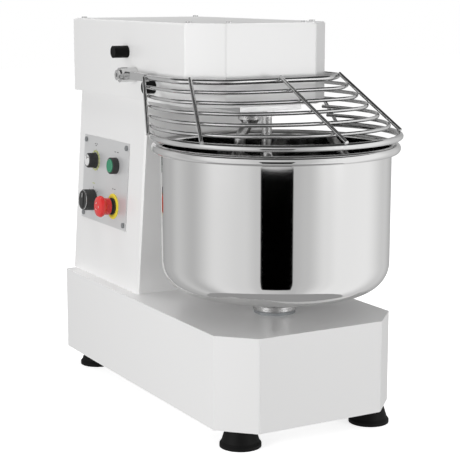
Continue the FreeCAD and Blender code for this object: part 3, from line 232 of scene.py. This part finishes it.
class Finishes:
    """Every finish on the machine."""

    POWDER = Finish("white_powder_coat", shade(0.86, 0.003), shade(0.82), 0.34, 0.05, 0.05, 700.0, coat=0.15)
    BOWL = Finish(
        "spun_stainless", shade(0.72, 0.004), shade(0.69), 0.055, 0.03, 0.004, 60.0, 1.0,
        stretch_x=0.25, stretch_z=14.0,
    )
    POLISHED = Finish("polished_wire", shade(0.68), shade(0.62), 0.10, 0.04, 0.01, 500.0, 1.0)
    SATIN = Finish("satin_stainless", shade(0.62, 0.004), shade(0.56), 0.28, 0.08, 0.03, 300.0, 1.0)
    MACHINED = Finish("machined_steel", shade(0.48), shade(0.42), 0.35, 0.10, 0.04, 400.0, 1.0)
    IRON = Finish("cast_iron", shade(0.10), shade(0.14), 0.62, 0.10, 0.30, 500.0, 0.6)
    ALUMINIUM = Finish("cast_aluminium", shade(0.58), shade(0.52), 0.42, 0.08, 0.08, 500.0, 1.0)
    PLATE = Finish(
        "brushed_plate", shade(0.70, -0.004), shade(0.62), 0.40, 0.12, 0.03, 80.0, 0.45,
        stretch_x=0.6, stretch_z=20.0,
    )
    RUBBER = Finish("black_rubber", shade(0.004), shade(0.008), 0.62, 0.10, 0.10, 600.0, specular=0.12)
    BLACK = Finish("black_plastic", shade(0.003), shade(0.006), 0.34, 0.06, 0.04, 700.0, specular=0.16)
    GREY = Finish("grey_plastic", shade(0.30), shade(0.26), 0.45, 0.06, 0.05, 600.0)
    GREEN = Finish(
        "green_plastic", (0.003, 0.080, 0.040), (0.003, 0.06, 0.03), 0.30, 0.05, 0.02, 600.0, specular=0.3
    )
    RED = Finish(
        "red_plastic", (0.56, 0.012, 0.008), (0.46, 0.008, 0.006), 0.34, 0.05, 0.02, 600.0, specular=0.25
    )
    YELLOW = Finish("yellow_plastic", (0.80, 0.52, 0.02), (0.72, 0.45, 0.02), 0.42, 0.05, 0.03, 600.0)
    MOTOR = Finish("motor_paint", (0.03, 0.07, 0.13), (0.02, 0.05, 0.10), 0.45, 0.08, 0.10, 500.0, coat=0.1)
    INK = Finish("printed_ink", shade(0.03), shade(0.05), 0.6)
    PALE_CAP = Finish("pale_cap", shade(0.78), shade(0.70), 0.35)
    # pale green that paints the highlight along the start button's rim, not the plastic's own colour
    PALE_GREEN_HIGHLIGHT = Finish("pale_green_painted_highlight", (0.10, 0.32, 0.20), (0.08, 0.26, 0.16), 0.3)
    LIME = Finish("lime_print", (0.52, 0.55, 0.22), (0.46, 0.50, 0.18), 0.5)


CAD_FINISHES: dict[str, tuple[str, ...]] = {
    "POWDER": ("base_housing", "column_housing", "rear_cover", "head_housing", "head_lid"),
    "RUBBER": ("rubber_feet", "drive_belts", "guard_buffers"),
    "MACHINED": (
        "base_bottom_plate", "foot_bolts", "frame_bolts", "bowl_shaft", "bowl_pinion", "countershaft",
        "layshaft", "motor_rotor", "motor_plate", "motor_plate_bolts", "hook_shaft", "guard_cam",
    ),
    "POLISHED": (
        "cover_screws", "bowl_bolts", "ball_bearings", "hook_bolts", "guard_top_rail", "guard_rings",
        "guard_bottom_ring", "guard_ribs", "guard_arms", "guard_pivot_pins",
    ),
    "PLATE": ("control_panel",),
    "BLACK": (
        "timer_knob", "selector_knob", "start_button_bezel", "emergency_stop_collar", "cable_gland",
        "guard_switch",
    ),
    "GREY": ("control_switches", "switch_blocks", "electrical_box"),
    "GREEN": ("start_button",),
    "RED": ("emergency_stop_button",),
    "YELLOW": ("emergency_stop_disc",),
    "BOWL": ("bowl",),
    "SATIN": ("bowl_hub", "spiral_hook", "breaker_bar"),
    "IRON": (
        "bowl_bearing_housing", "bowl_gear", "countershaft_bearing", "layshaft_small_pulleys",
        "layshaft_bearings", "motor_pulley", "panel_screws",
    ),
    "ALUMINIUM": ("hook_bearing_housing", "countershaft_pulley", "layshaft_large_pulley", "hook_pulley"),
    "MOTOR": ("motor_body", "motor_fan_cover"),
}


def dress_frame() -> None:
    """Give every CAD piece its finish."""
    for label, names in CAD_FINISHES.items():
        finish: Finish = getattr(Finishes, label)
        for name in names:
            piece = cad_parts[name]
            piece.data.materials.clear()
            piece.data.materials.append(finish.material())
            LOG.info("%s finished in %s", name, finish.name)


# ---------------------------------------------------------------- studio
@dataclass
class Studio:
    """Camera, floor and lights round the machine, in metres.

    The glows are pairs: degrees round the bowl from the camera's side, and how bright the wall is there.
    The black card stands at its reach from the bowl's axis, between its two sides and its two heights.
    """

    azimuth: float = -29.5
    elevation: float = 10.2
    distance: float = 2.246
    lens: float = 105.13
    aim: Point = (0.0, -0.0039, 0.2828)
    sky: float = 0.37
    glows: tuple[tuple[float, float], ...] = (
        (-180, 0.30), (-154, 0.36), (-123, 0.55), (-105, 0.70), (-85, 0.60), (-57, 0.93), (-30, 0.85),
        (-17, 0.72), (17, 0.62), (26, 0.68), (45, 0.95), (58, 1.05), (90, 1.07), (124, 0.74), (154, 0.46),
        (180, 0.36),
    )
    black_reach: float = 0.78
    black_sides: tuple[float, float] = (-0.200, 0.185)
    black_heights: tuple[float, float] = (-0.26, 0.344)

    def camera(self) -> bpy.types.Object:
        """Place the camera and make it the scene's.

        Returns:
            The camera.
        """
        data = bpy.data.cameras.new("camera")
        data.lens = self.lens
        data.sensor_width = 36.0
        data.clip_end = 60.0
        camera = bpy.data.objects.new("camera", data)
        bpy.context.scene.collection.objects.link(camera)
        turn, rise = math.radians(self.azimuth), math.radians(self.elevation)
        away = Vector((math.sin(turn) * math.cos(rise), -math.cos(turn) * math.cos(rise), math.sin(rise)))
        camera.location = Vector(self.aim) + away * self.distance
        camera.rotation_euler = (-away).to_track_quat("-Z", "Y").to_euler()
        bpy.context.scene.camera = camera
        return camera

    def world(self) -> None:
        """Fill the room with even white light."""
        world = bpy.data.worlds.new("white_room")
        world.use_nodes = True
        sky = world.node_tree.nodes["Background"]
        sky.inputs["Color"].default_value = (1.0, 1.0, 1.0, 1.0)
        sky.inputs["Strength"].default_value = self.sky
        bpy.context.scene.world = world

    def floor(self) -> None:
        """Lay a pale floor under the feet."""
        deselect()
        bpy.ops.mesh.primitive_plane_add(size=40.0, location=(0.0, 0.0, 0.0))
        floor = bpy.context.object
        floor.name = "floor"
        paint = bpy.data.materials.new("pale_floor")
        paint.use_nodes = True
        shader = paint.node_tree.nodes["Principled BSDF"]
        shader.inputs["Base Color"].default_value = (0.9, 0.9, 0.9, 1.0)
        shader.inputs["Roughness"].default_value = 0.9
        shader.inputs["Emission Color"].default_value = (1.0, 1.0, 1.0, 1.0)
        shader.inputs["Emission Strength"].default_value = 0.7
        floor.data.materials.append(paint)
        floor.visible_diffuse = False
        floor.visible_glossy = False

    def lamp(self, name: str, at: Point, size: tuple[float, float], power: float) -> None:
        """Hang one soft lamp that faces the machine.

        Args:
            name: the lamp's name.
            at: where it hangs.
            size: its width and height.
            power: its power in watts.
        """
        data = bpy.data.lights.new(name, "AREA")
        data.shape = "RECTANGLE"
        data.size, data.size_y = size
        data.energy = power
        lamp = bpy.data.objects.new(name, data)
        bpy.context.scene.collection.objects.link(lamp)
        lamp.location = at
        lamp.rotation_euler = (Vector((0.0, 0.0, 0.3)) - Vector(at)).to_track_quat("-Z", "Y").to_euler()

    def card(self, name: str, corners: Sequence[Point], value: float, glow: float = 0.0) -> None:
        """Stand a flat card that only shows in reflections.

        Args:
            name: the card's name.
            corners: its four corners in order.
            value: how pale it is, 0 for black.
            glow: how bright it shines of itself.
        """
        mesh = bpy.data.meshes.new(name)
        mesh.from_pydata([Vector(corner) for corner in corners], [], [tuple(range(len(corners)))])
        card = bpy.data.objects.new(name, mesh)
        bpy.context.scene.collection.objects.link(card)
        paint = bpy.data.materials.new(name)
        paint.use_nodes = True
        shader = paint.node_tree.nodes["Principled BSDF"]
        shader.inputs["Base Color"].default_value = (value, value, value, 1.0)
        shader.inputs["Roughness"].default_value = 1.0
        shader.inputs["Specular IOR Level"].default_value = 0.0
        shader.inputs["Emission Color"].default_value = (1.0, 1.0, 1.0, 1.0)
        shader.inputs["Emission Strength"].default_value = glow
        mesh.materials.append(paint)
        card.visible_camera = False
        card.visible_shadow = False
        card.visible_diffuse = False

    def wall_paint(self) -> bpy.types.Material:
        """Mix the wall's paint, which glows more or less with the direction seen from the bowl.

        Returns:
            The material.
        """
        paint = bpy.data.materials.new("reflection_wall")
        paint.use_nodes = True
        nodes, links = paint.node_tree.nodes, paint.node_tree.links
        shader = nodes["Principled BSDF"]
        shader.inputs["Base Color"].default_value = (0.0, 0.0, 0.0, 1.0)
        shader.inputs["Specular IOR Level"].default_value = 0.0
        shader.inputs["Emission Strength"].default_value = 1.0
        place = nodes.new("ShaderNodeTexCoord")
        shift = nodes.new("ShaderNodeVectorMath")
        shift.operation = "SUBTRACT"
        shift.inputs[1].default_value = (0.0, BOWL_Y, 0.0)
        turn = nodes.new("ShaderNodeVectorRotate")
        turn.rotation_type = "Z_AXIS"
        turn.inputs["Angle"].default_value = -math.radians(self.azimuth)
        parts = nodes.new("ShaderNodeSeparateXYZ")
        back = nodes.new("ShaderNodeMath")
        back.operation = "MULTIPLY"
        back.inputs[1].default_value = -1.0
        angle = nodes.new("ShaderNodeMath")
        angle.operation = "ARCTAN2"
        share = nodes.new("ShaderNodeMapRange")
        share.inputs["From Min"].default_value = -math.pi
        share.inputs["From Max"].default_value = math.pi
        ramp = nodes.new("ShaderNodeValToRGB")
        self.fill_ramp(ramp.color_ramp)
        links.new(place.outputs["Object"], shift.inputs[0])
        links.new(shift.outputs[0], turn.inputs["Vector"])
        links.new(turn.outputs[0], parts.inputs[0])
        links.new(parts.outputs["Y"], back.inputs[0])
        links.new(parts.outputs["X"], angle.inputs[0])
        links.new(back.outputs[0], angle.inputs[1])
        links.new(angle.outputs[0], share.inputs["Value"])
        links.new(share.outputs[0], ramp.inputs["Fac"])
        links.new(ramp.outputs["Color"], shader.inputs["Emission Color"])
        return paint

    def fill_ramp(self, ramp: bpy.types.ColorRamp) -> None:
        """Set the ramp's stops to the glows round the bowl.

        Args:
            ramp: a new colour ramp with two stops.
        """
        ramp.interpolation = "EASE"
        for degrees, _ in self.glows[1:-1]:
            ramp.elements.new((degrees + 180.0) / 360.0)
        for stop, (degrees, glow) in zip(ramp.elements, self.glows):
            stop.position = (degrees + 180.0) / 360.0
            stop.color = (glow, glow, glow, 1.0)

    def surround(self, radius: float = 1.05, height: float = 1.1) -> None:
        """Stand a round wall, seen only in reflections, that shades from white to grey round the bowl.

        Args:
            radius: how far it stands from the bowl's axis.
            height: how far it reaches above the floor, and below it.
        """
        deselect()
        bpy.ops.mesh.primitive_cylinder_add(
            vertices=96, radius=radius, depth=2 * height, end_fill_type="NOTHING", location=(0.0, BOWL_Y, 0.0)
        )
        wall = bpy.context.object
        wall.name = "reflection_wall"
        settle(wall)
        wall.data.materials.clear()
        wall.data.materials.append(self.wall_paint())
        wall.visible_camera = False
        wall.visible_shadow = False
        wall.visible_diffuse = False

    def black_card(self) -> None:
        """Stand the black card whose reflection makes the dark strip down the bowl."""
        turn = math.radians(self.azimuth)
        away = Vector((math.sin(turn), -math.cos(turn), 0.0))
        side = Vector((math.cos(turn), math.sin(turn), 0.0))
        middle = Vector((0.0, BOWL_Y, 0.0)) + away * self.black_reach
        left, right = self.black_sides
        foot, top = self.black_heights
        corners = []
        for across, height in ((left, foot), (right, foot), (right, top), (left, top)):
            corners.append(tuple(middle + side * across + Vector((0.0, 0.0, height))))
        self.card("black_card", corners, 0.0)

    def build(self) -> None:
        """Set up the whole studio."""
        scene = bpy.context.scene
        scene.view_settings.view_transform = "Standard"
        scene.view_settings.look = "None"
        self.camera()
        self.world()
        self.floor()
        self.lamp("key", at=(-2.5, -0.5, 0.60), size=(1.4, 0.9), power=34.0)
        self.lamp("front", at=(1.0, -2.5, 0.45), size=(1.2, 0.6), power=24.0)
        self.lamp("top", at=(0.0, 0.9, 2.6), size=(1.6, 1.6), power=33.0)
        sheet = ((-9.0, 9.0, -1.0), (9.0, 9.0, -1.0), (9.0, 9.0, 9.0), (-9.0, 9.0, 9.0))
        self.card("backdrop", sheet, value=0.0, glow=1.0)
        self.surround()
        ceiling = ((-1.2, -1.4, 1.15), (1.2, -1.4, 1.15), (1.2, 1.0, 1.15), (-1.2, 1.0, 1.15))
        self.card("dark_ceiling", ceiling, value=0.0, glow=0.06)
        self.black_card()
        backdrop = bpy.data.objects["backdrop"]
        backdrop.visible_camera = True
        backdrop.visible_glossy = False


# ---------------------------------------------------------------- modelling helpers
def deselect() -> None:
    """Leave nothing selected."""
    if bpy.context.object and bpy.context.object.mode != "OBJECT":
        bpy.ops.object.mode_set(mode="OBJECT")
    bpy.ops.object.select_all(action="DESELECT")


def settle(piece: bpy.types.Object) -> None:
    """Put the piece's place, turn and size into its mesh, so it sits at the origin.

    Args:
        piece: the object, placed as it should stay.
    """
    bpy.context.view_layer.update()
    piece.data.transform(piece.matrix_world)
    piece.matrix_world = Matrix.Identity(4)


def finish_piece(
    piece: bpy.types.Object, name: str, finish: Finish, smooth: bool = True
) -> bpy.types.Object:
    """Name a new piece, close its doubles, point its faces outwards and give it a finish.

    Args:
        piece: the object that was just modelled.
        name: its plain name.
        finish: the surface it gets.
        smooth: whether its curved faces are shaded smooth.

    Returns:
        The same object.
    """
    deselect()
    piece.name = name
    piece.data.name = name
    piece.select_set(True)
    bpy.context.view_layer.objects.active = piece
    bpy.ops.object.mode_set(mode="EDIT")
    bpy.ops.mesh.select_all(action="SELECT")
    bpy.ops.mesh.remove_doubles(threshold=WELD)
    bpy.ops.mesh.normals_make_consistent(inside=False)
    bpy.ops.object.mode_set(mode="OBJECT")
    if smooth:
        bpy.ops.object.shade_smooth_by_angle(angle=SMOOTH_ANGLE)
    piece.data.materials.clear()
    piece.data.materials.append(finish.material())
    return piece


def bevel_all(width: float, segments: int = 2) -> None:
    """Ease every edge of the active object's mesh.

    Args:
        width: how much is taken off each edge.
        segments: how many steps round each edge.
    """
    bpy.ops.object.mode_set(mode="EDIT")
    bpy.ops.mesh.select_all(action="SELECT")
    bpy.ops.mesh.bevel(offset=width, segments=segments, affect="EDGES", clamp_overlap=True)
    bpy.ops.object.mode_set(mode="OBJECT")


def disc(radius: float, depth: float, ease: float = 0.0, sides: int = 64) -> bpy.types.Object:
    """Model a flat round disc standing on Z = 0, with eased edges.

    Args:
        radius, depth: its size in metres.
        ease: how much is taken off the rim edges.
        sides: how many sides the round has.

    Returns:
        The new object, still at its own origin.
    """
    deselect()
    bpy.ops.mesh.primitive_cylinder_add(
        vertices=sides, radius=radius, depth=depth, location=(0.0, 0.0, depth / 2)
    )
    piece = bpy.context.object
    if ease:
        bpy.ops.object.mode_set(mode="EDIT")
        bpy.ops.mesh.select_all(action="DESELECT")
        bpy.ops.mesh.select_mode(type="FACE")
        bpy.ops.mesh.select_face_by_sides(number=sides, type="EQUAL")
        bpy.ops.mesh.region_to_loop()
        bpy.ops.mesh.bevel(offset=ease, segments=3, affect="EDGES")
        bpy.ops.object.mode_set(mode="OBJECT")
    return piece


def bar(size: Point, at: Point, ease: float = 0.0) -> bpy.types.Object:
    """Model a straight bar with its middle at a place.

    Args:
        size: length along X, Y and Z in metres.
        at: where its middle is.
        ease: how much its edges are eased.

    Returns:
        The new object.
    """
    deselect()
    bpy.ops.mesh.primitive_cube_add(size=1.0, location=at)
    piece = bpy.context.object
    piece.scale = size
    settle(piece)
    if ease:
        bevel_all(ease)
    return piece


def flat_ring(inner: float, outer: float, depth: float, sides: int = 72) -> bpy.types.Object:
    """Model a flat ring standing on Z = 0, drawn as a circle and extruded outwards and then up.

    Args:
        inner, outer: its radii in metres.
        depth: how thick it is.
        sides: how many sides the round has.

    Returns:
        The new object, still at its own origin.
    """
    deselect()
    bpy.ops.mesh.primitive_circle_add(vertices=sides, radius=inner, fill_type="NOTHING")
    piece = bpy.context.object
    bpy.ops.object.mode_set(mode="EDIT")
    bpy.ops.mesh.select_all(action="SELECT")
    bpy.ops.mesh.extrude_edges_move()
    bpy.ops.transform.resize(value=(outer / inner, outer / inner, 1.0), center_override=(0.0, 0.0, 0.0))
    bpy.ops.mesh.select_all(action="SELECT")
    bpy.ops.mesh.extrude_region_move(TRANSFORM_OT_translate={"value": (0.0, 0.0, depth)})
    bpy.ops.object.mode_set(mode="OBJECT")
    return piece


def round_wire(major: float, minor: float) -> bpy.types.Object:
    """Model a ring of round wire lying on Z = 0.

    Args:
        major: radius of the ring.
        minor: radius of the wire.

    Returns:
        The new object, still at its own origin.
    """
    deselect()
    bpy.ops.mesh.primitive_torus_add(
        major_radius=major, minor_radius=minor, major_segments=72, minor_segments=12
    )
    return bpy.context.object


def turned_copy(piece: bpy.types.Object, degrees: float) -> bpy.types.Object:
    """Copy a piece, with its own mesh, and turn the copy about Z.

    Args:
        piece: the object to copy.
        degrees: how far the copy is turned.

    Returns:
        The copy.
    """
    again = piece.copy()
    again.data = piece.data.copy()
    bpy.context.scene.collection.objects.link(again)
    again.data.transform(Matrix.Rotation(math.radians(degrees), 4, "Z"))
    return again


def as_one(pieces: Sequence[bpy.types.Object]) -> bpy.types.Object:
    """Join several objects into the first of them.

    Args:
        pieces: the objects to join.

    Returns:
        The first object, which now holds all of them.
    """
    deselect()
    for piece in pieces:
        piece.select_set(True)
    bpy.context.view_layer.objects.active = pieces[0]
    bpy.ops.object.join()
    return pieces[0]


# ---------------------------------------------------------------- controls
@dataclass(frozen=True)
class WallSpot:
    """A place on the slanted left wall of the column, in metres.

    The lean is how far the wall comes in for each metre that it rises.
    """

    at: Point
    lean: float = 22.0 / 326.0

    def stand(self, piece: bpy.types.Object, lift: float) -> bpy.types.Object:
        """Stand a piece on the wall, its Z outwards, its Y up and its X to the front.

        Args:
            piece: the object, modelled about its own origin.
            lift: how far its origin is off the wall.

        Returns:
            The same object, in its place and with its mesh settled.
        """
        turn = math.atan(self.lean)
        out = Vector((-math.cos(turn), 0.0, math.sin(turn)))
        rise = Vector((math.sin(turn), 0.0, math.cos(turn)))
        front = Vector((0.0, -1.0, 0.0))
        spot = Vector(self.at) + out * lift
        piece.data.transform(Matrix((
            (front.x, rise.x, out.x, spot.x),
            (front.y, rise.y, out.y, spot.y),
            (front.z, rise.z, out.z, spot.z),
            (0.0, 0.0, 0.0, 1.0),
        )))
        return piece


@dataclass
class Controls:
    """The small parts and printed marks on and round the knobs and buttons, in metres.

    The face and the knobs' foot are measured out from the wall, the knobs' heights from their foot, and the
    lifts of the rim and the marks from the face. The ink is how thick a printed line is.
    """

    timer: WallSpot = WallSpot((-0.12517, 0.2575, 0.379))
    start: WallSpot = WallSpot((-0.12517, 0.1715, 0.379))
    selector: WallSpot = WallSpot((-0.12996, 0.2615, 0.308))
    stop: WallSpot = WallSpot((-0.12996, 0.1755, 0.308))
    face: float = 0.0017
    knob_foot: float = 0.0020
    timer_height: float = 0.0165
    selector_height: float = 0.0196
    start_rim_lift: float = 0.0128
    stop_mark_lift: float = 0.0309
    ink: float = 0.00012

    def ticks(self, count: int, sweep: float, near: float, far: float, thick: float) -> bpy.types.Object:
        """Model a fan of short printed lines.

        Args:
            count: how many lines.
            sweep: degrees from the first to the last, centred on the top.
            near, far: how far from the middle each line starts and ends.
            thick: how wide each line is.

        Returns:
            All the lines as one object.
        """
        first = bar((thick, far - near, self.ink), (0.0, (near + far) / 2, self.ink / 2))
        lines = [turned_copy(first, sweep / 2 - sweep * step / (count - 1)) for step in range(count)]
        bpy.data.objects.remove(first)
        return as_one(lines)

    def dashes(self, length: float, width: float, places: Sequence[tuple[float, float]]) -> bpy.types.Object:
        """Model level printed dashes, all of one size.

        Args:
            length, width: the size of each dash.
            places: where each dash's middle is, across and up from the control's middle.

        Returns:
            All the dashes as one object.
        """
        return as_one([bar((length, width, self.ink), (across, up, self.ink / 2)) for across, up in places])

    def print_on(
        self, piece: bpy.types.Object, spot: WallSpot, name: str, finish: Finish, lift: float = 0.0
    ) -> None:
        """Fix a printed mark to the panel's face.

        Args:
            piece: the mark, modelled about its own origin.
            spot: the control that it belongs to.
            name: its plain name.
            finish: the ink.
            lift: how far it stands above other marks.
        """
        finish_piece(piece, name, finish, smooth=False)
        spot.stand(piece, self.face + 0.00002 + lift)
        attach(piece, Body.FRAME.value)

    def scales(self) -> None:
        """Print the timer's and the selector's scales and plain marks beside the controls."""
        band = flat_ring(0.0152, 0.0182, 0.0001)
        self.print_on(band, self.timer, "timer_scale_band", Finishes.LIME)
        lines = self.ticks(13, 300, 0.0158, 0.0198, 0.0006)
        self.print_on(lines, self.timer, "timer_scale_lines", Finishes.INK, lift=self.ink)
        lines = self.ticks(3, 90, 0.0205, 0.0245, 0.0009)
        self.print_on(lines, self.selector, "selector_scale_lines", Finishes.INK)
        marks = self.dashes(0.005, 0.0011, ((-0.004, 0.0295), (0.004, 0.0295), (0.0, 0.0265)))
        self.print_on(marks, self.timer, "timer_mark", Finishes.INK)
        marks = self.dashes(0.006, 0.0011, ((-0.005, 0.0235), (0.005, 0.0235)))
        self.print_on(marks, self.start, "start_mark", Finishes.INK)
        marks = self.dashes(0.005, 0.0011, ((-0.004, 0.0300), (0.004, 0.0300)))
        self.print_on(marks, self.stop, "stop_mark", Finishes.INK)
        mark = bar((0.010, 0.0016, 0.0001), (0.0, 0.0300, 0.00005))
        self.print_on(mark, self.selector, "selector_mark", Finishes.LIME)

    def timer_dress(self) -> None:
        """Put the grip ribs, the pale cap and its pointer line on the timer knob."""
        first = bar((0.0011, 0.0014, 0.0112), (0.0, 0.01235, 0.0090), 0.0003)
        ribs = as_one([turned_copy(first, 15.0 * step) for step in range(1, 24)] + [first])
        finish_piece(ribs, "timer_knob_grip_ribs", Finishes.BLACK)
        self.timer.stand(ribs, self.knob_foot)
        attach(ribs, Body.TIMER.value)
        cap = finish_piece(disc(0.0100, 0.0009, 0.0003), "timer_knob_cap", Finishes.PALE_CAP)
        self.timer.stand(cap, self.knob_foot + self.timer_height)
        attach(cap, Body.TIMER.value)
        line = bar((0.0012, 0.0062, 0.0002), (0.0, 0.0062, 0.0010))
        finish_piece(line, "timer_knob_line", Finishes.INK, smooth=False)
        self.timer.stand(line, self.knob_foot + self.timer_height)
        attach(line, Body.TIMER.value)
        nut = finish_piece(flat_ring(0.0141, 0.0150, 0.0012), "timer_knob_skirt_ring", Finishes.SATIN)
        self.timer.stand(nut, self.face)
        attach(nut, Body.FRAME.value)

    def selector_dress(self) -> None:
        """Put the bright ring, the grip bar and the pointer line on the selector knob."""
        ring = finish_piece(round_wire(0.0172, 0.0006), "selector_knob_bright_ring", Finishes.POLISHED)
        self.selector.stand(ring, self.knob_foot + self.selector_height)
        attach(ring, Body.SELECTOR.value)
        grip = bar((0.0070, 0.0270, 0.0016), (0.0, 0.0, 0.0008), 0.0006)
        finish_piece(grip, "selector_knob_grip", Finishes.BLACK)
        self.selector.stand(grip, self.knob_foot + self.selector_height)
        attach(grip, Body.SELECTOR.value)
        line = bar((0.0014, 0.0080, 0.0002), (0.0, 0.0085, 0.0017))
        finish_piece(line, "selector_knob_line", Finishes.PALE_CAP, smooth=False)
        self.selector.stand(line, self.knob_foot + self.selector_height)
        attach(line, Body.SELECTOR.value)

    def button_dress(self) -> None:
        """Put a pale green ring on the start button's rim as a painted highlight, and the turning marks on
        the emergency stop.
        """
        # the rim ring is a painted highlight: a pale green wire that stands in for light catching the
        # button's edge
        rim = finish_piece(round_wire(0.0108, 0.0005), "start_button_rim_painted_highlight", Finishes.PALE_GREEN_HIGHLIGHT)
        self.start.stand(rim, self.face + self.start_rim_lift)
        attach(rim, Body.START.value)
        first = bar((0.0010, 0.0040, 0.0003), (0.0062, 0.0, 0.0), 0.0001)
        marks = as_one([turned_copy(first, 120.0 * step) for step in (1, 2)] + [first])
        finish_piece(marks, "emergency_stop_turn_marks", Finishes.PALE_CAP, smooth=False)
        self.stop.stand(marks, self.face + self.stop_mark_lift)
        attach(marks, Body.STOP.value)

    def build(self) -> None:
        """Model every small part of the controls."""
        self.scales()
        self.timer_dress()
        self.selector_dress()
        self.button_dress()
        LOG.info("controls dressed")


def main() -> None:
    """Dress the frame, build the pieces and light the studio."""
    logging.basicConfig(level=logging.INFO, format="%(message)s")
    dress_frame()
    Controls().build()
    Studio().build()


if __name__ == "__main__":
    main()
